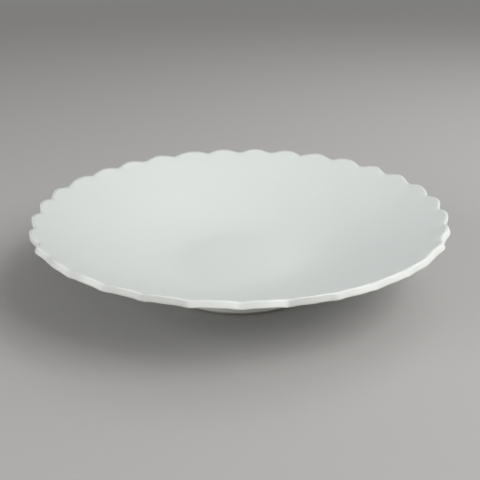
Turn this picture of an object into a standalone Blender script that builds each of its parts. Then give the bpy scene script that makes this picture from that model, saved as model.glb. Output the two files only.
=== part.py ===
"""Deep plate: a white glazed dish with a petal rim, standing on a luted foot ring.

Metres, +Z up. The origin is the middle of the foot's standing face.
Every piece is an outline turned about Z. Between the petals an outline is drawn back along
the wall and pressed down a little, as a thumb leaves it.
"""

import math

import bmesh
import bpy
from mathutils import Vector

# The finished dish, over its glaze
RIM_DIAMETER = 0.240
HEIGHT = 0.044
LIP_SLOPE = math.radians(25.0)

# The petals: how deep the notches between them are, how far these are pressed down, and how
# far down the wall they run out
PETALS = 32
PETAL_DEPTH = 0.0032
PETAL_DIP = 0.0005
PETAL_REACH = 0.012

# The clay dish: a flat floor and a wall that eases out of it
FLOOR_DIAMETER = 0.060
FLOOR_EASE = 0.020
LIP_EASE = 0.050
FLOOR_THICKNESS = 0.0042
LIP_THICKNESS = 0.0023
LIP_ARRIS = 0.0006

# The foot ring, over its glaze, and the bare clay at its standing face
FOOT_DIAMETER = 0.099
FOOT_WIDTH = 0.0062
FOOT_CLEARANCE = 0.0075
FOOT_ARRIS = 0.0008
FOOT_BARE = 0.0016

# The slip that joins the ring to the dish, the glaze, and the gap at every seat
SLIP_FILLET = 0.0024
GLAZE = 0.00045
SEAT = 0.0003

# How finely the outlines and their turns are divided
STEPS_PER_PETAL = 4
STEPS_PER_TURN = 2 * PETALS
INSIDE_STEPS = 6
OUTSIDE_STEPS = 5
FILLET_STEPS = 2
BASE_STEPS = 3
ARRIS_STEPS = 2

# The most of its wall that a rounded edge may take on each side
ROUNDEST = 0.45

# Distance of each surface from the clay
CLAY = 0.0
GLAZE_BACK = SEAT
GLAZE_FACE = SEAT + GLAZE

# The two sides of the wall
INSIDE = 1
UNDERSIDE = -1

# Places along the wall: the centre, the edge of the flat floor and the lip
CENTRE = -1
FLOOR_EDGE = 0
LIP = 1

CLAY_COLOUR = (0.72, 0.67, 0.60, 1.0)
SLIP_COLOUR = (0.68, 0.63, 0.56, 1.0)
GLAZE_COLOUR = (0.72, 0.75, 0.73, 1.0)


def clear_scene():
    for item in list(bpy.data.objects):
        bpy.data.objects.remove(item, do_unlink=True)


def material(name, colour, roughness):
    made = bpy.data.materials.new(name)
    made.use_nodes = True
    shader = made.node_tree.nodes["Principled BSDF"]
    shader.inputs["Base Color"].default_value = colour
    shader.inputs["Roughness"].default_value = roughness
    shader.inputs["Metallic"].default_value = 0.0
    return made


def bezier(handles, t):
    """Point and direction on a Bezier curve of any order."""
    while len(handles) > 2:
        handles = [a.lerp(b, t) for a, b in zip(handles, handles[1:])]
    start, end = handles
    return start.lerp(end, t), (end - start).normalized()


def steps(start, end, count):
    """The places after start, up to end, in even steps."""
    return [start + (end - start) * i / count for i in range(1, count + 1)]


class Wall:
    """The clay wall about its middle line, in the plane of radius and height."""

    def __init__(self):
        self.along = Vector((math.cos(LIP_SLOPE), math.sin(LIP_SLOPE)))
        self.across = Vector((-math.sin(LIP_SLOPE), math.cos(LIP_SLOPE)))
        self.notch = PETAL_DEPTH * self.along + PETAL_DIP * self.across
        self.arris = min(LIP_ARRIS, ROUNDEST * LIP_THICKNESS)
        self.lip_flat = LIP_THICKNESS / 2 - self.arris
        floor = Vector((FLOOR_DIAMETER / 2, FOOT_CLEARANCE + GLAZE_FACE + FLOOR_THICKNESS / 2))
        self.end = self.lip_end()
        self.handles = [
            floor,
            floor + Vector((FLOOR_EASE, 0)),
            self.end - LIP_EASE * self.along,
            self.end,
        ]

    def lip_end(self):
        """Where the middle line ends, for the glazed lip to reach the full diameter and height."""
        out = self.arris * (1 - self.along.x) - self.lip_flat * self.across.x + GLAZE_FACE
        up = self.arris * (1 - self.along.y) + self.lip_flat * self.across.y + GLAZE_FACE
        return Vector((RIM_DIAMETER / 2 - out, HEIGHT - up))

    def middle(self, place):
        """Point and normal of the middle line."""
        if place <= FLOOR_EDGE:
            floor = self.handles[0]
            return Vector((floor.x * (place - CENTRE), floor.y)), Vector((0, 1))
        point, direction = bezier(self.handles, place)
        return point, Vector((-direction.y, direction.x))

    def surface(self, place, side, cover):
        """Point of the wall's face, or of a coat that lies over it."""
        point, normal = self.middle(place)
        thinning = max(place, FLOOR_EDGE)
        thickness = FLOOR_THICKNESS + (LIP_THICKNESS - FLOOR_THICKNESS) * thinning
        return point + normal * side * (thickness / 2 + cover)

    def place_at(self, radius, side, cover):
        """The place along the wall where a face has the given radius."""
        low, high = CENTRE, LIP
        for _ in range(50):
            half = (low + high) / 2
            if self.surface(half, side, cover).x < radius:
                low = half
            else:
                high = half
        return low

    def petal_start(self, side):
        """The place along the wall where the petals begin to stand out."""
        clay = self.surface(LIP, side, CLAY)
        return self.place_at((clay - PETAL_REACH * self.along).x, side, CLAY)


WALL = Wall()
FOOT_OUTER = FOOT_DIAMETER / 2 - GLAZE_FACE
FOOT_INNER = FOOT_OUTER - FOOT_WIDTH


def plain(points):
    """Points of an outline that stay round."""
    return [(point.x, point.y, False) for point in points]


def petalled(points):
    """Points of an outline that follow the petals."""
    return [(point.x, point.y, True) for point in points]


def lip(cover):
    """The rounded edge of the lip, from the inside to the underside."""
    radius = WALL.arris + cover
    turn = [0.0] + steps(0.0, math.pi / 2, ARRIS_STEPS)
    points = []
    for side, angles in ((INSIDE, turn), (UNDERSIDE, turn[::-1])):
        centre = WALL.end - WALL.arris * WALL.along + side * WALL.lip_flat * WALL.across
        for angle in angles:
            outward = math.sin(angle) * WALL.along + side * math.cos(angle) * WALL.across
            points.append(centre + radius * outward)
    return petalled(points)


def inside(cover):
    """The inside of the dish, from the centre to the foot of the petals."""
    start = WALL.petal_start(INSIDE)
    places = [CENTRE, FLOOR_EDGE] + steps(FLOOR_EDGE, start, INSIDE_STEPS)
    return plain([WALL.surface(place, INSIDE, cover) for place in places])


def fillet_end(side, cover):
    """The place on the underside where the fillet beside the foot ring runs out."""
    radius = foot_face(side, cover) + side * SLIP_FILLET
    return WALL.place_at(radius, UNDERSIDE, cover)


def foot_face(side, cover):
    """Radius of the foot ring's outer (1) or inner (-1) face, or of a coat on it."""
    face = FOOT_OUTER if side > 0 else FOOT_INNER
    return face + side * cover


def foot_corner(side, cover):
    """Where a face of the foot ring would meet the underside without its fillet."""
    radius = foot_face(side, cover)
    return WALL.surface(WALL.place_at(radius, UNDERSIDE, cover), UNDERSIDE, cover)


def fillet(side, cover, start=0.0):
    """The hollow fillet beside the foot ring, from the underside to the ring's face."""
    corner = foot_corner(side, cover)
    handles = [
        WALL.surface(fillet_end(side, cover), UNDERSIDE, cover),
        corner,
        corner - Vector((0, SLIP_FILLET)),
    ]
    return [bezier(handles, t)[0] for t in [start] + steps(start, 1.0, FILLET_STEPS)]


def outside(cover):
    """The underside of the dish, from the petals to the fillet beside the foot ring."""
    start = WALL.petal_start(UNDERSIDE)
    places = [start] + steps(start, fillet_end(1, cover), OUTSIDE_STEPS)
    return [WALL.surface(place, UNDERSIDE, cover) for place in places]


def base(cover):
    """The underside within the foot ring, from the centre to the fillet."""
    end = fillet_end(-1, cover)
    start = (CENTRE + end) / 2
    places = [CENTRE, start] + steps(start, end, BASE_STEPS)
    return [WALL.surface(place, UNDERSIDE, cover) for place in places]


def foot_skirt(side, cover):
    """The fillet and the face of the foot ring, down to the bare clay."""
    return fillet(side, cover) + [Vector((foot_face(side, cover), FOOT_BARE))]


def dish_outline():
    under = outside(CLAY) + base(CLAY)[::-1]
    return inside(CLAY) + lip(CLAY) + plain(under)


def coat_outline(cover):
    """One face of the main coat, from the inside's centre to the bare foot."""
    return inside(cover) + lip(cover) + plain(outside(cover)[:-1] + foot_skirt(1, cover))


def base_outline(cover):
    """One face of the base's coat, from the base's centre to the bare foot."""
    return plain(base(cover)[:-1] + foot_skirt(-1, cover))


def ring_top(side):
    """The foot ring's upper edge, under the slip."""
    return foot_corner(side, CLAY) - Vector((0, SLIP_FILLET + SEAT))


def foot_outline():
    """The ring's section, with its standing edges eased."""
    arris = min(FOOT_ARRIS, ROUNDEST * FOOT_WIDTH)
    across = Vector((arris, 0))
    upright = Vector((0, arris))
    outer = Vector((FOOT_OUTER, 0))
    inner = Vector((FOOT_INNER, 0))
    return plain([
        ring_top(1),
        outer + upright,
        outer - across,
        inner + across,
        inner + upright,
        ring_top(-1),
    ])


def slip_outline():
    """The slip's section: flat on the ring, hollow at both sides, seated under the dish.

    The fillet's depth grows as the square of the way along it, and the slip starts where
    it is two seats deep, so that its thin edge clears the dish.
    """
    start = min(1.0, math.sqrt(2 * SEAT / SLIP_FILLET))
    outer = fillet(1, CLAY, start)
    inner = fillet(-1, CLAY, start)
    edges = [WALL.place_at(edge[0].x, UNDERSIDE, SEAT) for edge in (inner, outer)]
    places = [edges[0], sum(edges) / 2, edges[1]]
    seat = [WALL.surface(place, UNDERSIDE, SEAT) for place in places]
    return plain(seat + outer + inner[::-1])


def ring_of_points(mesh, radius, height, follows):
    """One turn of an outline's point; a point on the axis is a single vertex."""
    if radius == 0:
        return [mesh.verts.new((0, 0, height))]
    count = PETALS * STEPS_PER_PETAL if follows else STEPS_PER_TURN
    ring = []
    for i in range(count):
        part_of_turn = i / count
        point = Vector((radius, height))
        if follows:
            point -= notch_share(part_of_turn) * WALL.notch
        angle = math.tau * part_of_turn
        ring.append(mesh.verts.new((
            point.x * math.cos(angle),
            point.x * math.sin(angle),
            point.y,
        )))
    return ring


def notch_share(part_of_turn):
    """How much of a notch's depth the lip has: none at a petal's tip, all at the notch."""
    side = 2 * (part_of_turn * PETALS % 1.0) - 1
    return side ** 2


def join_rings(mesh, first, second):
    """Faces between two turns, of which one may have a multiple of the other's points."""
    count = min(len(ring) for ring in (first, second) if len(ring) > 1)
    for i in range(count):
        mesh.faces.new(share(first, i, count) + share(second, i, count)[::-1])


def share(ring, i, count):
    """The points of a ring that belong to one of its equal parts."""
    if len(ring) == 1:
        return ring
    width = len(ring) // count
    return [ring[j % len(ring)] for j in range(i * width, (i + 1) * width + 1)]


def turned(name, outline, ring_shaped, finish):
    """Turn an outline about Z into one closed solid."""
    mesh = bmesh.new()
    rings = [ring_of_points(mesh, *point) for point in outline]
    pairs = list(zip(rings, rings[1:]))
    if ring_shaped:
        pairs.append((rings[-1], rings[0]))
    for first, second in pairs:
        join_rings(mesh, first, second)
    bmesh.ops.recalc_face_normals(mesh, faces=mesh.faces)
    data = bpy.data.meshes.new(name)
    mesh.to_mesh(data)
    mesh.free()
    data.shade_smooth()
    data.set_sharp_from_angle(angle=math.radians(40))
    data.materials.append(finish)
    piece = bpy.data.objects.new(name, data)
    bpy.context.collection.objects.link(piece)


def coat(outline):
    """A coat's section: its face outwards, then its back inwards."""
    return outline(GLAZE_FACE) + outline(GLAZE_BACK)[::-1]


def build_plate():
    clear_scene()
    turned("dish_body", dish_outline(), False, material("clay", CLAY_COLOUR, 0.85))
    turned("foot_ring", foot_outline(), True, material("foot_clay", CLAY_COLOUR, 0.85))
    turned("luting_slip", slip_outline(), True, material("slip", SLIP_COLOUR, 0.9))
    turned("glaze_coat", coat(coat_outline), False, material("glaze", GLAZE_COLOUR, 0.3))
    turned("base_glaze", coat(base_outline), False, material("base_glaze", GLAZE_COLOUR, 0.3))


build_plate()
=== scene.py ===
"""Looks of the deep plate: white glaze over a petal-rimmed clay dish on a bare foot ring.

Metres, +Z up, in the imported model's own frame. Every piece is a section turned about Z by one
Geometry Nodes tree, which draws the lip back between the petals.
"""

import math
from collections import namedtuple

import bmesh
import bpy
from mathutils import Matrix, Vector


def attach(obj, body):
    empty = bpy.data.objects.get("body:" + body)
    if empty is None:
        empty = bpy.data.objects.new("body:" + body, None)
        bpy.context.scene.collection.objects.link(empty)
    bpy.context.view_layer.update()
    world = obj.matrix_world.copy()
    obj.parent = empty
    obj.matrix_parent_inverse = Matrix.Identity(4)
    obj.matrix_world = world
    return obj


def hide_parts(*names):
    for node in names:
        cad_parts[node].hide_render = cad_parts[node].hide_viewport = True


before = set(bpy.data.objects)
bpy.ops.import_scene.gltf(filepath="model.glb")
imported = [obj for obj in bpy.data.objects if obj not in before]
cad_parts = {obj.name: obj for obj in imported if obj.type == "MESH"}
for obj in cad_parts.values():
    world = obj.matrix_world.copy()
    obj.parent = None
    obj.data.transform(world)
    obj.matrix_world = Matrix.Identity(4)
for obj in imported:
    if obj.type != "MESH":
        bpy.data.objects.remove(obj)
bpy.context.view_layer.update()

# The finished dish, over its glaze, in the sizes of the solids
RIM_DIAMETER = 0.240
HEIGHT = 0.044
LIP_SLOPE = math.radians(25.0)
FLOOR_DIAMETER = 0.060
FLOOR_EASE = 0.020
LIP_EASE = 0.050
FLOOR_THICKNESS = 0.0042
LIP_THICKNESS = 0.0023
FOOT_DIAMETER = 0.099
FOOT_WIDTH = 0.0062
FOOT_CLEARANCE = 0.0075
FOOT_ARRIS = 0.0008
FOOT_BARE = 0.0016
SLIP_FILLET = 0.0024
GLAZE = 0.00045
SEAT = 0.0003

# The petals: their depth, how far down the wall the notches run out and how they grow along it
PETALS = 32
PETAL_DEPTH = 0.0032
PETAL_DIP = 0.0005
PETAL_REACH = 0.012
PETAL_GROWTH = 1.5
TIP_EASE = 0.0004
NOTCH_START = 0.45

# How uneven a hand leaves the petals: in place, in depth, and from sharp notches to soft ones
DRIFT = 0.54
DRIFT_SEED = 1344.0
DEPTH_SPREAD = 0.85
DEPTH_SEED = 465.4
SHARP_NOTCH = 0.37
SOFT_NOTCH = 0.57
SOFTNESS_SEED = 713.0

# How much further out single petals stand, or less far, and the noise that leaves one as it is
TIP_SPREAD = 0.0047
TIP_MIDDLE = 0.52
TIP_SEED = 1825.0

# The lip's edges, crisper than the solids', and their shapes, from 2 for round to a square one
LIP_ARRIS = 0.0003
UPPER_SQUARENESS = 2.5
LOWER_SQUARENESS = 3.0

# How far in the lip's lower edge is pressed on some petals, from loose ones to tucked ones
LIP_TUCK = 0.0018
LOOSE_LIP = 0.48
TUCKED_LIP = 0.54
TUCK_SEED = 805.3

# The noise of a hand's unevenness: how quickly it changes along the rim, the circle along which it
# is read, its detail, and the middle of any noise
BROAD = 1.0
FINE = 2.3
HAND_CIRCLE = 2.0
HAND_DETAIL = 1.0
NOISE_MIDDLE = 0.5

# How finely the pieces are divided
COLUMNS_PER_PETAL = 14
FLOOR_STEPS = 4
WALL_STEPS = 20
PETAL_STEPS = 14
LIP_STEPS = 9
UNDER_STEPS = 16
FILLET_STEPS = 8
EDGE_STEPS = 4

# How often the search for a place along the wall halves its span
HALVINGS = 50

# The sheet that is turned, how close points are joined, and the share of a petal that keeps the
# points of a seam on one petal
SHEET_SIDE = 1.0
MERGE = 1e-6
SEAM_SHARE = 0.01

# Distance of each surface from the clay
CLAY = 0.0
GLAZE_BACK = SEAT
GLAZE_FACE = SEAT + GLAZE

# The two sides of the wall and of the foot ring
INSIDE = 1
UNDERSIDE = -1
OUTER = 1
INNER = -1

# Places along the wall, and the order of the curve from its floor to its lip
CENTRE = -1
FLOOR_EDGE = 0
LIP = 1
CUBIC = 3

# Colours of the glaze: all over, thinner over edges and there also a painted highlight on the lip's
# face, pooled in hollows and in specks
WHITE = (0.70, 0.735, 0.715, 1.0)
THIN_GLAZE_AND_HIGHLIGHT = (0.855, 0.866, 0.832, 1.0)
POOLED_GLAZE = (0.62, 0.67, 0.64, 1.0)
SPECK = (0.42, 0.40, 0.36, 1.0)

# Colours of the clay
BISCUIT = (0.72, 0.67, 0.60, 1.0)
SLIP = (0.68, 0.63, 0.56, 1.0)

# What is left of a colour where the glaze is clouded, where the clay is warm or worn, and in the
# painted contact shade at the clay's edges
CLOUDED = (0.975, 0.975, 0.975)
WARM = (0.92, 0.86, 0.77)
WORN = (0.80, 0.78, 0.75)
CONTACT_SHADE = (0.40, 0.38, 0.35)

# The glaze's clouds, flecks, specks and pinholes: their fineness, where they begin and end in the
# noise, and how much they show
CLOUD_SCALE = 17.0
CLOUD_DETAIL = 2.0
CLOUD_SPAN = (0.35, 0.70)
CLOUD_SHARE = 0.7
FLECK_SCALE = 620.0
FLECK_DETAIL = 2.0
FLECK_SPAN = (0.45, 0.75)
FLECK_SHARE = 0.3
SPECK_SCALE = 90.0
SPECK_SPAN = (0.010, 0.026)
SPECK_CHANCE = (0.72, 0.74)
SPECK_SHARE = 0.45
PINHOLE_SPAN = (0.0, 0.03)

# How far the glaze takes its other colours
POOL_SHARE = 0.55
NOTCH_SHARE = 0.25
THIN_AND_HIGHLIGHT_SHARE = 0.75
THIN_AND_HIGHLIGHT_SPREAD = 0.4

# The glaze's gloss and skin
GLAZE_ROUGHNESS = 0.34
CLOUD_ROUGHNESS = 0.10
THIN_ROUGHNESS = 0.06
PEEL_SCALE = 260.0
PEEL_DETAIL = 1.5
PEEL_HEIGHT = 0.8
FLECK_HEIGHT = 0.12
PINHOLE_HEIGHT = 0.08
GLAZE_BUMP = 0.22
GLAZE_BUMP_DEPTH = 0.00012

# The clay's grain, patches and painted contact shade at its edges, and its matt skin
GRAIN_SCALE = 1400.0
GRAIN_DETAIL = 3.0
GRAIN_SPAN = (0.52, 0.78)
WORN_SHARE = 0.5
PATCH_SCALE = 60.0
PATCH_DETAIL = 3.0
PATCH_SPAN = (0.40, 0.72)
WARM_SHARE = 0.8
CONTACT_SHADE_SHARE = 0.6
CONTACT_SHADE_SPREAD = 0.4
FOOT_ROUGHNESS = 0.82
BISCUIT_ROUGHNESS = 0.85
SLIP_ROUGHNESS = 0.9
GRAIN_ROUGHNESS = 0.12
GRAIN_BUMP = 0.5
GRAIN_BUMP_DEPTH = 0.0002

# The camera, as the photograph was taken: how far off and how high it stands, how it is turned, and
# its lens and sensor in millimetres
CAMERA_FOOT = 0.4473
CAMERA_HEIGHT = 0.2125
CAMERA_PITCH = math.radians(22.881)
CAMERA_YAW = math.radians(0.007)
CAMERA_ROLL = math.radians(-0.45)
CAMERA_LENS = 62.0
CAMERA_SENSOR = 36.0

# The studio: its even light from all around, and the floor, which fades into it between two radii
STUDIO_WHITE = (1.0, 1.0, 1.0, 1.0)
STUDIO_LEVEL = 0.267
GROUND_COLOUR = (0.44, 0.43, 0.42, 1.0)
GROUND_ROUGHNESS = 0.9
GROUND_SIDE = 12.0
FADE_START = 0.8
FADE_END = 2.2

# The lamps, in degrees and metres: azimuth 0 is in front, 90 at the right. Each gives the floor at
# the plate a share of full light
Lamp = namedtuple("Lamp", "name azimuth elevation distance size share")
LAMPS = (
    Lamp("right", azimuth=60, elevation=42, distance=1.4, size=0.9, share=0.441),
    Lamp("back", azimuth=120, elevation=52, distance=0.8, size=0.6, share=0.215),
    Lamp("left", azimuth=-60, elevation=22, distance=1.5, size=0.9, share=0.147),
)

# A point of a section: where it is, how far it follows the petals and the lip's lower edge, how the
# glaze lies there, and where a painted highlight and painted contact shade lie
TRAITS = ("petal", "under", "thin", "pool")
Point = namedtuple("Point", ("radius", "height") + TRAITS, defaults=(0.0,) * len(TRAITS))

# A Mix node's sockets for colours, by number, because others of its sockets have the same names
MIX_SHARE = 0
MIX_COLOUR = 6
MIX_OTHER = 7
MIX_RESULT = 2


class Wire:
    """One output in a node tree. Arithmetic on it adds Math nodes."""

    def __init__(self, net, socket):
        self.net = net
        self.socket = socket

    def out(self, name):
        """Another output of the same node."""
        return Wire(self.net, self.socket.node.outputs[name])

    def maths(self, operation, *values):
        """A Math node on these values or links."""
        return self.net.node("ShaderNodeMath", {"operation": operation}, dict(enumerate(values)))

    def __add__(self, other):
        return self.maths("ADD", self, other)

    def __sub__(self, other):
        return self.maths("SUBTRACT", self, other)

    def __rsub__(self, other):
        return self.maths("SUBTRACT", other, self)

    def __mul__(self, other):
        return self.maths("MULTIPLY", self, other)

    def __truediv__(self, other):
        return self.maths("DIVIDE", self, other)

    def __rtruediv__(self, other):
        return self.maths("DIVIDE", other, self)

    def __pow__(self, other):
        return self.maths("POWER", self, other)

    def __abs__(self):
        return self.maths("ABSOLUTE", self)

    __radd__ = __add__
    __rmul__ = __mul__

    def fraction(self):
        return self.maths("FRACT", self)

    def whole(self):
        return self.maths("ROUND", self)

    def floor(self):
        return self.maths("FLOOR", self)

    def sine(self):
        return self.maths("SINE", self)

    def cosine(self):
        return self.maths("COSINE", self)

    def rise(self, low, high):
        """0 below low, 1 above high, and a smooth step between them."""
        settings = {"interpolation_type": "SMOOTHSTEP"}
        sockets = {"Value": self, "From Min": low, "From Max": high}
        return self.net.node("ShaderNodeMapRange", settings, sockets)


class Net:
    """A node tree in the making."""

    def __init__(self, tree):
        self.tree = tree

    def feed(self, node, sockets):
        """Gives sockets of a node their values or links."""
        for key, value in sockets.items():
            if isinstance(value, Wire):
                self.tree.links.new(value.socket, node.inputs[key])
            else:
                node.inputs[key].default_value = value

    def node(self, kind, settings=None, sockets=None, output=0):
        """A node with its settings, then the values or links of its sockets."""
        node = self.tree.nodes.new(kind)
        for name, value in (settings or {}).items():
            setattr(node, name, value)
        self.feed(node, sockets or {})
        return Wire(self, node.outputs[output])

    def vector(self, x, y, z):
        return self.node("ShaderNodeCombineXYZ", {}, {"X": x, "Y": y, "Z": z})

    def noise(self, where, scale, detail):
        return self.node("ShaderNodeTexNoise", {}, {"Vector": where, "Scale": scale, "Detail": detail})

    def mix(self, share, colour, other):
        """A colour that turns into another as share goes from 0 to 1."""
        sockets = {MIX_SHARE: share, MIX_COLOUR: colour, MIX_OTHER: other}
        return self.node("ShaderNodeMix", {"data_type": "RGBA"}, sockets, output=MIX_RESULT)


# The section of the dish, in the plane of radius and height


def bezier(handles, t):
    """Point and direction on a Bezier curve of any order."""
    while len(handles) > 2:
        handles = [a.lerp(b, t) for a, b in zip(handles, handles[1:])]
    start, end = handles
    return start.lerp(end, t), (end - start).normalized()


def steps(start, end, count):
    """Even steps from start to end, both included."""
    return [start + (end - start) * i / count for i in range(count + 1)]


class Wall:
    """The clay wall about its middle line."""

    def __init__(self):
        self.along = Vector((math.cos(LIP_SLOPE), math.sin(LIP_SLOPE)))
        self.across = Vector((-math.sin(LIP_SLOPE), math.cos(LIP_SLOPE)))
        self.lip_flat = LIP_THICKNESS / 2 - LIP_ARRIS
        floor = Vector((FLOOR_DIAMETER / 2, FOOT_CLEARANCE + GLAZE_FACE + FLOOR_THICKNESS / 2))
        self.end = self.lip_end()
        self.handles = [
            floor,
            floor + Vector((FLOOR_EASE, 0)),
            self.end - LIP_EASE * self.along,
            self.end,
        ]
        # At its end a cubic curve runs three times its last handle's length for one unit of place
        self.lip_start = LIP - LIP_ARRIS / (CUBIC * LIP_EASE)

    def lip_end(self):
        """Where the middle line ends, for the glazed lip to reach the full diameter and height."""
        out = LIP_ARRIS * (1 - self.along.x) - self.lip_flat * self.across.x + GLAZE_FACE
        up = LIP_ARRIS * (1 - self.along.y) + self.lip_flat * self.across.y + GLAZE_FACE
        return Vector((RIM_DIAMETER / 2 - out, HEIGHT - up))

    def middle(self, place):
        """Point and normal of the middle line."""
        if place <= FLOOR_EDGE:
            floor = self.handles[0]
            return Vector((floor.x * (place - CENTRE), floor.y)), Vector((0, 1))
        point, direction = bezier(self.handles, place)
        return point, Vector((-direction.y, direction.x))

    def surface(self, place, side, cover):
        """Point of the wall's face, or of a coat that lies over it."""
        point, normal = self.middle(place)
        thinning = max(place, FLOOR_EDGE)
        thickness = FLOOR_THICKNESS + (LIP_THICKNESS - FLOOR_THICKNESS) * thinning
        return point + normal * side * (thickness / 2 + cover)

    def place_at(self, radius, side, cover):
        """The place along the wall where a face has the given radius."""
        low, high = CENTRE, LIP
        for _ in range(HALVINGS):
            half = (low + high) / 2
            if self.surface(half, side, cover).x < radius:
                low = half
            else:
                high = half
        return low

    def petal_start(self, side):
        """The place along the wall where the petals begin to stand out."""
        clay = self.surface(LIP, side, CLAY)
        return self.place_at((clay - PETAL_REACH * self.along).x, side, CLAY)


WALL = Wall()
FOOT_OUTER = FOOT_DIAMETER / 2 - GLAZE_FACE
FOOT_INNER = FOOT_OUTER - FOOT_WIDTH


def plain(places, side, cover):
    """Points along the wall that stay round."""
    points = [WALL.surface(place, side, cover) for place in places]
    return [Point(point.x, point.y) for point in points]


def petal_wall(side, cover):
    """The wall from where the petals begin to the rounding of the lip."""
    start = WALL.petal_start(side)
    points = []
    for t in steps(0.0, 1.0, PETAL_STEPS):
        at = WALL.surface(start + (WALL.lip_start - start) * t, side, cover)
        petal = t ** PETAL_GROWTH
        points.append(Point(at.x, at.y, petal=petal, under=petal if side == UNDERSIDE else 0.0))
    return points


def lip(cover):
    """The edge of the lip, from the inside to the underside, rounder above and squarer below.

    The glaze runs thinner and whiter over its face, which also paints a highlight there.
    """
    radius = LIP_ARRIS + cover
    turn = steps(0.0, math.pi / 2, LIP_STEPS)
    points = []
    upper = (INSIDE, turn, 2 / UPPER_SQUARENESS)
    lower = (UNDERSIDE, turn[::-1], 2 / LOWER_SQUARENESS)
    for side, angles, power in (upper, lower):
        centre = WALL.end - LIP_ARRIS * WALL.along + side * WALL.lip_flat * WALL.across
        for angle in angles:
            out = math.sin(angle) ** power
            over = math.cos(angle) ** power
            at = centre + radius * (out * WALL.along + side * over * WALL.across)
            under = 0.5 - (at - WALL.end).dot(WALL.across) / (LIP_THICKNESS + 2 * cover)
            # Whiter glaze over the face: partly the glaze running thinner, partly a painted highlight
            points.append(Point(at.x, at.y, petal=1.0, under=under, thin=math.sin(angle)))
    return points


def inside(cover):
    """The inside of the dish, from the centre to the lip."""
    places = steps(CENTRE, FLOOR_EDGE, FLOOR_STEPS)[:-1]
    places += steps(FLOOR_EDGE, WALL.petal_start(INSIDE), WALL_STEPS)[:-1]
    return plain(places, INSIDE, cover) + petal_wall(INSIDE, cover)


def foot_face(side, cover):
    """Radius of the foot ring's outer or inner face, or of a coat on it."""
    face = FOOT_OUTER if side == OUTER else FOOT_INNER
    return face + side * cover


def foot_corner(side, cover):
    """Where a face of the foot ring would meet the underside without its fillet."""
    radius = foot_face(side, cover)
    return WALL.surface(WALL.place_at(radius, UNDERSIDE, cover), UNDERSIDE, cover)


def fillet_end(side, cover):
    """The place on the underside where the fillet beside the foot ring runs out."""
    radius = foot_face(side, cover) + side * SLIP_FILLET
    return WALL.place_at(radius, UNDERSIDE, cover)


def fillet(side, cover, start=0.0):
    """The hollow fillet beside the foot ring, from the underside to the ring's face."""
    corner = foot_corner(side, cover)
    handles = [
        WALL.surface(fillet_end(side, cover), UNDERSIDE, cover),
        corner,
        corner - Vector((0, SLIP_FILLET)),
    ]
    points = []
    for t in steps(start, 1.0, FILLET_STEPS):
        at = bezier(handles, t)[0]
        points.append(Point(at.x, at.y, pool=math.sin(math.pi * t)))
    return points


def outside(cover):
    """The underside of the dish, from the lip to the fillet beside the foot ring."""
    places = steps(WALL.petal_start(UNDERSIDE), fillet_end(OUTER, cover), UNDER_STEPS)[1:-1]
    return petal_wall(UNDERSIDE, cover)[::-1] + plain(places, UNDERSIDE, cover)


def base(cover):
    """The underside within the foot ring, from the centre to the fillet."""
    places = steps(CENTRE, fillet_end(INNER, cover), UNDER_STEPS)[:-1]
    return plain(places, UNDERSIDE, cover)


def foot_skirt(side, cover):
    """The face of the foot ring below its fillet, down to the bare clay."""
    radius = foot_face(side, cover)
    top = foot_corner(side, cover).y - SLIP_FILLET
    heights = steps(top, FOOT_BARE + GLAZE / 2, EDGE_STEPS)[1:]
    thinning = steps(0.0, 1.0, EDGE_STEPS)[1:]
    return [Point(radius, height, thin=thin) for height, thin in zip(heights, thinning)]


def glaze_edge(side):
    """The rounded lower edge of a coat on the foot ring, from its face to its back."""
    points = []
    middle = (GLAZE_FACE + GLAZE_BACK) / 2
    for angle in steps(0.0, math.pi, 2 * EDGE_STEPS)[1:-1]:
        radius = foot_face(side, middle + GLAZE / 2 * math.cos(angle))
        height = FOOT_BARE + GLAZE / 2 * (1 - math.sin(angle))
        points.append(Point(radius, height, thin=1.0))
    return points


def coat(face, side):
    """A coat's section: its face outwards, its lower edge, then its back inwards."""
    return face(GLAZE_FACE) + glaze_edge(side) + face(GLAZE_BACK)[::-1]


def main_face(cover):
    """One face of the main coat, from the inside's centre to the bare foot."""
    dish = inside(cover) + lip(cover) + outside(cover)
    return dish + fillet(OUTER, cover) + foot_skirt(OUTER, cover)


def base_face(cover):
    """One face of the base's coat, from the base's centre to the bare foot."""
    return base(cover) + fillet(INNER, cover) + foot_skirt(INNER, cover)


def dish_section():
    """The clay dish's section: its inside, its lip, then its underside back to the centre."""
    under = WALL.place_at(FOOT_OUTER, UNDERSIDE, CLAY)
    places = steps(WALL.petal_start(UNDERSIDE), under, UNDER_STEPS)[1:]
    places += steps(under, CENTRE, UNDER_STEPS)[1:]
    underside = petal_wall(UNDERSIDE, CLAY)[::-1] + plain(places, UNDERSIDE, CLAY)
    return inside(CLAY) + lip(CLAY) + underside


def ring_top(side):
    """The foot ring's upper edge, under the slip."""
    return foot_corner(side, CLAY) - Vector((0, SLIP_FILLET + SEAT))


def eased_corner(side):
    """The standing edge of the foot ring, rounded from its face to its underside."""
    face = foot_face(side, CLAY)
    points = []
    for angle in steps(0.0, math.pi / 2, EDGE_STEPS):
        radius = face - side * FOOT_ARRIS * (1 - math.cos(angle))
        # These points carry the trait that paints contact shade on the bare clay
        points.append(Point(radius, FOOT_ARRIS * (1 - math.sin(angle)), thin=1.0))
    return points


def upright(side):
    """A face of the foot ring, from the slip down to its standing edge."""
    top = ring_top(side)
    return [Point(top.x, height) for height in steps(top.y, FOOT_ARRIS, EDGE_STEPS)[:-1]]


def foot_section():
    """The ring's section, closed, with its standing edges eased."""
    standing = steps(FOOT_OUTER - FOOT_ARRIS, FOOT_INNER + FOOT_ARRIS, EDGE_STEPS)[1:-1]
    outer = upright(OUTER) + eased_corner(OUTER)
    inner = upright(INNER) + eased_corner(INNER)
    return outer + [Point(radius, 0.0) for radius in standing] + inner[::-1] + outer[:1]


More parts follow.
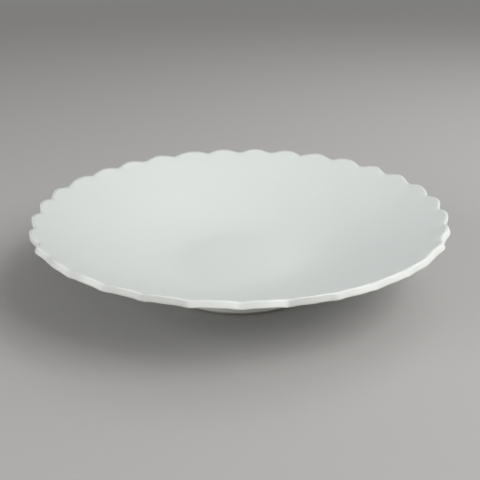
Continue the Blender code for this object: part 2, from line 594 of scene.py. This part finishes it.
def slip_section():
    """The slip's section, closed: flat on the ring, hollow at both sides, seated under the dish."""
    start = math.sqrt(2 * SEAT / SLIP_FILLET)
    outer = fillet(OUTER, CLAY, start)
    inner = fillet(INNER, CLAY, start)
    ends = [WALL.place_at(edge[0].radius, UNDERSIDE, SEAT) for edge in (inner, outer)]
    seat = plain(steps(*ends, FILLET_STEPS), UNDERSIDE, SEAT)
    return seat + outer + inner[::-1] + seat[:1]


# Turning a section into a piece

INPUT_KINDS = {int: "NodeSocketInt", float: "NodeSocketFloat"}

# The tree's inputs that differ from piece to piece, by their kinds
PIECE_INPUTS = {
    "Section": "NodeSocketObject",
    "Rows": "NodeSocketInt",
    "Finish": "NodeSocketMaterial",
}

# The tree's inputs that all pieces share, by their values
SHARED_INPUTS = {
    "Columns": PETALS * COLUMNS_PER_PETAL,
    "Petals": PETALS,
    "Petal depth": PETAL_DEPTH,
    "Petal dip": PETAL_DIP,
    "Tip ease": TIP_EASE,
    "Lip slope": LIP_SLOPE,
    "Drift": DRIFT,
    "Drift seed": DRIFT_SEED,
    "Depth spread": DEPTH_SPREAD,
    "Depth seed": DEPTH_SEED,
    "Sharp notch": SHARP_NOTCH,
    "Soft notch": SOFT_NOTCH,
    "Softness seed": SOFTNESS_SEED,
    "Tip spread": TIP_SPREAD,
    "Tip middle": TIP_MIDDLE,
    "Tip seed": TIP_SEED,
    "Lip tuck": LIP_TUCK,
    "Loose lip": LOOSE_LIP,
    "Tucked lip": TUCKED_LIP,
    "Tuck seed": TUCK_SEED,
}


def turning_tree():
    """The tree that turns a section about Z and draws its lip back between the petals."""
    tree = bpy.data.node_groups.new("petal_turning", "GeometryNodeTree")
    tree.is_modifier = True
    kinds = {name: INPUT_KINDS[type(value)] for name, value in SHARED_INPUTS.items()}
    for name, kind in {**PIECE_INPUTS, **kinds}.items():
        tree.interface.new_socket(name=name, in_out="INPUT", socket_type=kind)
    tree.interface.new_socket(name="Piece", in_out="OUTPUT", socket_type="NodeSocketGeometry")
    net = Net(tree)
    given = net.node("NodeGroupInput").out
    sides = {"Size X": SHEET_SIDE, "Size Y": SHEET_SIDE}
    counts = {"Vertices X": given("Columns") + 1, "Vertices Y": given("Rows")}
    sheet = net.node("GeometryNodeMeshGrid", {}, {**sides, **counts})

    position = net.node("GeometryNodeInputPosition")
    flat = net.node("ShaderNodeSeparateXYZ", {}, {"Vector": position})
    turn = flat.out("X") + SHEET_SIDE / 2
    row = ((flat.out("Y") + SHEET_SIDE / 2) * (given("Rows") - 1)).whole()
    section = net.node("GeometryNodeObjectInfo", {}, {"Object": given("Section")}, output="Geometry")

    def of_section(kind, value):
        """What the section has at this row."""
        sockets = {0: section, "Value": value, "Index": row}
        return net.node("GeometryNodeSampleIndex", {"data_type": kind}, sockets)

    def named(name):
        """A trait of the section's points, by its name."""
        return net.node("GeometryNodeInputNamedAttribute", {"data_type": "FLOAT"}, {"Name": name})

    at = net.node("ShaderNodeSeparateXYZ", {}, {"Vector": of_section("FLOAT_VECTOR", position)})
    traits = {name: of_section("FLOAT", named(name)) for name in TRAITS}
    petal = traits["petal"]

    petal_angle = math.tau / given("Petals")
    round_turn = turn * math.tau

    def hand(seed, scale, around=round_turn):
        """The unevenness of a hand, which comes back to itself after a turn."""
        place = net.vector(around.cosine() * HAND_CIRCLE, around.sine() * HAND_CIRCLE, given(seed))
        return net.noise(place, scale, HAND_DETAIL)

    drift = given("Drift") * (hand("Drift seed", BROAD) - NOISE_MIDDLE)
    angle = round_turn + drift * petal_angle
    softness = hand("Softness seed", FINE).rise(given("Sharp notch"), given("Soft notch"))
    spread = given("Depth spread") * (hand("Depth seed", FINE) - NOISE_MIDDLE)
    depth = given("Petal depth") * (1 + spread)

    petal_start = (turn * given("Petals") + SEAM_SHARE).floor() * petal_angle
    tuck = hand("Tuck seed", BROAD, petal_start).rise(given("Loose lip"), given("Tucked lip"))
    tucked = given("Lip tuck") * tuck * traits["under"]
    length = given("Tip spread") * (hand("Tip seed", BROAD, petal_start) - given("Tip middle"))

    edge = abs((turn * given("Petals")).fraction() * 2 - 1)
    wave = 0.5 - 0.5 * (edge * math.pi).cosine()
    shape = edge ** 2 * (1 - softness) + wave * softness
    drawn = petal * (given("Tip ease") + (depth - given("Tip ease")) * shape) + tucked
    notch = petal ** 2 * edge.rise(NOTCH_START, 1.0)
    dip = given("Petal dip") * notch
    slope_cos = given("Lip slope").cosine()
    slope_sin = given("Lip slope").sine()
    longer = length * petal * (1 - shape)
    radius = at.out("X") - drawn * slope_cos + dip * slope_sin + longer
    height = at.out("Z") - drawn * slope_sin - dip * slope_cos

    made = sheet
    settings = {"data_type": "FLOAT", "domain": "POINT"}
    for name, value in {**traits, "notch": notch}.items():
        sockets = {0: made, "Name": name, "Value": value}
        made = net.node("GeometryNodeStoreNamedAttribute", settings, sockets)
    place = net.vector(radius * angle.cosine(), radius * angle.sine(), height)
    made = net.node("GeometryNodeSetPosition", {}, {0: made, "Position": place})
    made = net.node("GeometryNodeMergeByDistance", {}, {0: made, "Distance": MERGE})
    made = net.node("GeometryNodeSetShadeSmooth", {}, {0: made})
    made = net.node("GeometryNodeRealizeInstances", {}, {0: made})
    made = net.node("GeometryNodeSetMaterial", {}, {0: made, "Material": given("Finish")})
    net.feed(tree.nodes.new("NodeGroupOutput"), {0: made})
    return tree


def section_object(section):
    """A section as loose points, with what the tree samples from them."""
    mesh = bpy.data.meshes.new("section")
    mesh.from_pydata([(point.radius, 0, point.height) for point in section], [], [])
    for name in TRAITS:
        values = mesh.attributes.new(name, "FLOAT", "POINT")
        values.data.foreach_set("value", [getattr(point, name) for point in section])
    holder = bpy.data.objects.new("section", mesh)
    bpy.context.collection.objects.link(holder)
    return holder


def turned(name, section, finish):
    """One piece, turned from its section into a plain mesh with its faces outwards."""
    holder = section_object(section)
    piece = bpy.data.objects.new(name, bpy.data.meshes.new(name))
    bpy.context.collection.objects.link(piece)
    modifier = piece.modifiers.new("turning", "NODES")
    modifier.node_group = TURNING
    values = {**SHARED_INPUTS, "Section": holder, "Rows": len(section), "Finish": finish}
    for socket in TURNING.interface.items_tree:
        if socket.in_out == "INPUT":
            modifier[socket.identifier] = values[socket.name]
    evaluated = piece.evaluated_get(bpy.context.evaluated_depsgraph_get())
    mesh = bpy.data.meshes.new_from_object(evaluated)
    mesh.name = name
    piece.modifiers.remove(modifier)
    bpy.data.objects.remove(holder)
    faces = bmesh.new()
    faces.from_mesh(mesh)
    bmesh.ops.recalc_face_normals(faces, faces=faces.faces)
    faces.to_mesh(mesh)
    faces.free()
    piece.data = mesh
    return piece


# Finishes


def finish_net(name):
    """A new material, its net, its Principled shader and the place on the piece."""
    material = bpy.data.materials.new(name)
    material.use_nodes = True
    net = Net(material.node_tree)
    shader = material.node_tree.nodes["Principled BSDF"]
    place = net.node("ShaderNodeTexCoord", output="Object")
    return material, net, shader, place


def trait(net, name):
    """What the turning stored on the piece under this name."""
    return net.node("ShaderNodeAttribute", {"attribute_name": name}, output="Fac")


def dimmed(colour, shares):
    """A colour with a share of its red, green and blue."""
    return tuple(part * share for part, share in zip(colour, shares)) + (1.0,)


def glaze_finish(name, colour):
    """White glaze with a soft gloss: thinner, warm and whiter over edges, where on the lip's face it
    is also a painted highlight; pooled and cool in hollows.
    """
    material, net, shader, place = finish_net(name)
    cloud = net.noise(place, CLOUD_SCALE, CLOUD_DETAIL)
    fleck = net.noise(place, FLECK_SCALE, FLECK_DETAIL)
    peel = net.noise(place, PEEL_SCALE, PEEL_DETAIL)
    cells = net.node("ShaderNodeTexVoronoi", {}, {"Vector": place, "Scale": SPECK_SCALE})
    chance = net.node("ShaderNodeSeparateColor", {}, {"Color": cells.out("Color")})
    speck = (1 - cells.rise(*SPECK_SPAN)) * chance.out("Red").rise(*SPECK_CHANCE)
    pinhole = cells.rise(*PINHOLE_SPAN)

    clouded = cloud.rise(*CLOUD_SPAN) * CLOUD_SHARE + fleck.rise(*FLECK_SPAN) * FLECK_SHARE
    pooled = trait(net, "pool") * POOL_SHARE + trait(net, "notch") * NOTCH_SHARE
    thin = trait(net, "thin")
    thinned_and_lit = thin * (THIN_AND_HIGHLIGHT_SHARE + THIN_AND_HIGHLIGHT_SPREAD * (cloud - NOISE_MIDDLE))
    body = net.mix(clouded, colour, dimmed(colour, CLOUDED))
    body = net.mix(pooled, body, POOLED_GLAZE)
    # Whiter over edges: the glaze running thinner, and on the lip's face also a painted highlight
    body = net.mix(thinned_and_lit, body, THIN_GLAZE_AND_HIGHLIGHT)
    body = net.mix(speck * SPECK_SHARE, body, SPECK)

    rough = GLAZE_ROUGHNESS + CLOUD_ROUGHNESS * cloud + THIN_ROUGHNESS * thin
    skin = peel * PEEL_HEIGHT + fleck * FLECK_HEIGHT + pinhole * PINHOLE_HEIGHT
    relief = {"Height": skin, "Strength": GLAZE_BUMP, "Distance": GLAZE_BUMP_DEPTH}
    bump = net.node("ShaderNodeBump", {}, relief)
    net.feed(shader, {"Base Color": body, "Roughness": rough, "Normal": bump})
    return material


def clay_finish(name, colour, roughness):
    """Bare fired clay: matt, finely grained, a little warmer in patches, darkened at its edges by
    painted contact shade.
    """
    material, net, shader, place = finish_net(name)
    grain = net.noise(place, GRAIN_SCALE, GRAIN_DETAIL)
    patch = net.noise(place, PATCH_SCALE, PATCH_DETAIL)
    contact_shade = trait(net, "thin") * (CONTACT_SHADE_SHARE + CONTACT_SHADE_SPREAD * patch)
    body = net.mix(patch.rise(*PATCH_SPAN) * WARM_SHARE, colour, dimmed(colour, WARM))
    body = net.mix(grain.rise(*GRAIN_SPAN) * WORN_SHARE, body, dimmed(colour, WORN))
    # Painted shade: the foot ring's standing edge is darkened as a contact shadow where it meets the
    # floor
    body = net.mix(contact_shade, body, dimmed(colour, CONTACT_SHADE))
    rough = roughness + GRAIN_ROUGHNESS * (grain - NOISE_MIDDLE)
    relief = {"Height": grain, "Strength": GRAIN_BUMP, "Distance": GRAIN_BUMP_DEPTH}
    bump = net.node("ShaderNodeBump", {}, relief)
    net.feed(shader, {"Base Color": body, "Roughness": rough, "Normal": bump})
    return material


# The studio


def floor_finish():
    """A matt pale floor. Far from the plate it is seen to fade into the studio's own grey."""
    material, net, shader, place = finish_net("floor")
    net.feed(shader, {"Base Color": GROUND_COLOUR, "Roughness": GROUND_ROUGHNESS})
    path = net.node("ShaderNodeLightPath")
    seen = path.out("Is Camera Ray") + path.out("Is Glossy Ray") + path.out("Is Transmission Ray")
    away = net.node("ShaderNodeVectorMath", {"operation": "LENGTH"}, {0: place}, output="Value")
    fade = away.rise(FADE_START, FADE_END) * seen.rise(0.0, 1.0)
    grey = net.node("ShaderNodeEmission", {}, {"Color": STUDIO_WHITE, "Strength": STUDIO_LEVEL})
    matt = Wire(net, shader.outputs["BSDF"])
    shown = net.node("ShaderNodeMixShader", {}, {0: fade, 1: matt, 2: grey})
    net.feed(material.node_tree.nodes["Material Output"], {"Surface": shown})
    return material


def studio_floor():
    """The floor that the plate stands on."""
    half = GROUND_SIDE / 2
    mesh = bpy.data.meshes.new("floor")
    corners = [(-half, -half, 0), (half, -half, 0), (half, half, 0), (-half, half, 0)]
    mesh.from_pydata(corners, [], [(0, 1, 2, 3)])
    mesh.materials.append(floor_finish())
    ground = bpy.data.objects.new("floor", mesh)
    bpy.context.collection.objects.link(ground)


def soft_light(lamp):
    """A square lamp that faces the plate, as strong as its share of the floor's light needs."""
    azimuth = math.radians(lamp.azimuth)
    elevation = math.radians(lamp.elevation)
    light = bpy.data.lights.new(lamp.name, "AREA")
    light.shape = "SQUARE"
    light.size = lamp.size
    light.energy = lamp.share * (math.pi * lamp.distance) ** 2 / math.sin(elevation)
    holder = bpy.data.objects.new(lamp.name, light)
    across = lamp.distance * math.cos(elevation)
    holder.location = (
        across * math.sin(azimuth),
        -across * math.cos(azimuth),
        lamp.distance * math.sin(elevation),
    )
    holder.rotation_euler = (-holder.location).to_track_quat("-Z", "Y").to_euler()
    bpy.context.collection.objects.link(holder)


def lights():
    """The lamps, and the studio's even light."""
    for lamp in LAMPS:
        soft_light(lamp)
    world = bpy.data.worlds.new("studio")
    world.use_nodes = True
    background = world.node_tree.nodes["Background"]
    background.inputs["Color"].default_value = STUDIO_WHITE
    background.inputs["Strength"].default_value = STUDIO_LEVEL
    bpy.context.scene.world = world


def camera():
    """The camera, in front of the plate and looking down at it."""
    lens = bpy.data.cameras.new("camera")
    lens.lens = CAMERA_LENS
    lens.sensor_width = CAMERA_SENSOR
    holder = bpy.data.objects.new("camera", lens)
    stand = Matrix.Translation((0, -CAMERA_FOOT, CAMERA_HEIGHT))
    turn = Matrix.Rotation(CAMERA_YAW, 4, "Z")
    tilt = Matrix.Rotation(math.pi / 2 - CAMERA_PITCH, 4, "X")
    holder.matrix_world = stand @ turn @ tilt @ Matrix.Rotation(CAMERA_ROLL, 4, "Z")
    bpy.context.collection.objects.link(holder)
    bpy.context.scene.camera = holder


# The pieces, by the solids that they take the place of

TURNING = turning_tree()
PIECES = {
    "glaze_coat": (
        "glazed_dish",
        coat(main_face, OUTER),
        glaze_finish("white_glaze", WHITE),
        "glaze",
    ),
    "base_glaze": (
        "glazed_base",
        coat(base_face, INNER),
        glaze_finish("base_glaze", WHITE),
        "base_glaze",
    ),
    "foot_ring": (
        "bare_foot",
        foot_section(),
        clay_finish("foot_clay", BISCUIT, FOOT_ROUGHNESS),
        "foot_biscuit",
    ),
    "dish_body": (
        "clay_dish",
        dish_section(),
        clay_finish("clay", BISCUIT, BISCUIT_ROUGHNESS),
        "biscuit",
    ),
    "luting_slip": (
        "slip_joint",
        slip_section(),
        clay_finish("slip", SLIP, SLIP_ROUGHNESS),
        "slip",
    ),
}
for node, (name, section, finish, slot) in PIECES.items():
    piece = turned(name, section, finish)
    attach(piece, "root")
    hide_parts(node)

bpy.context.scene.view_settings.view_transform = "Standard"
studio_floor()
lights()
camera()
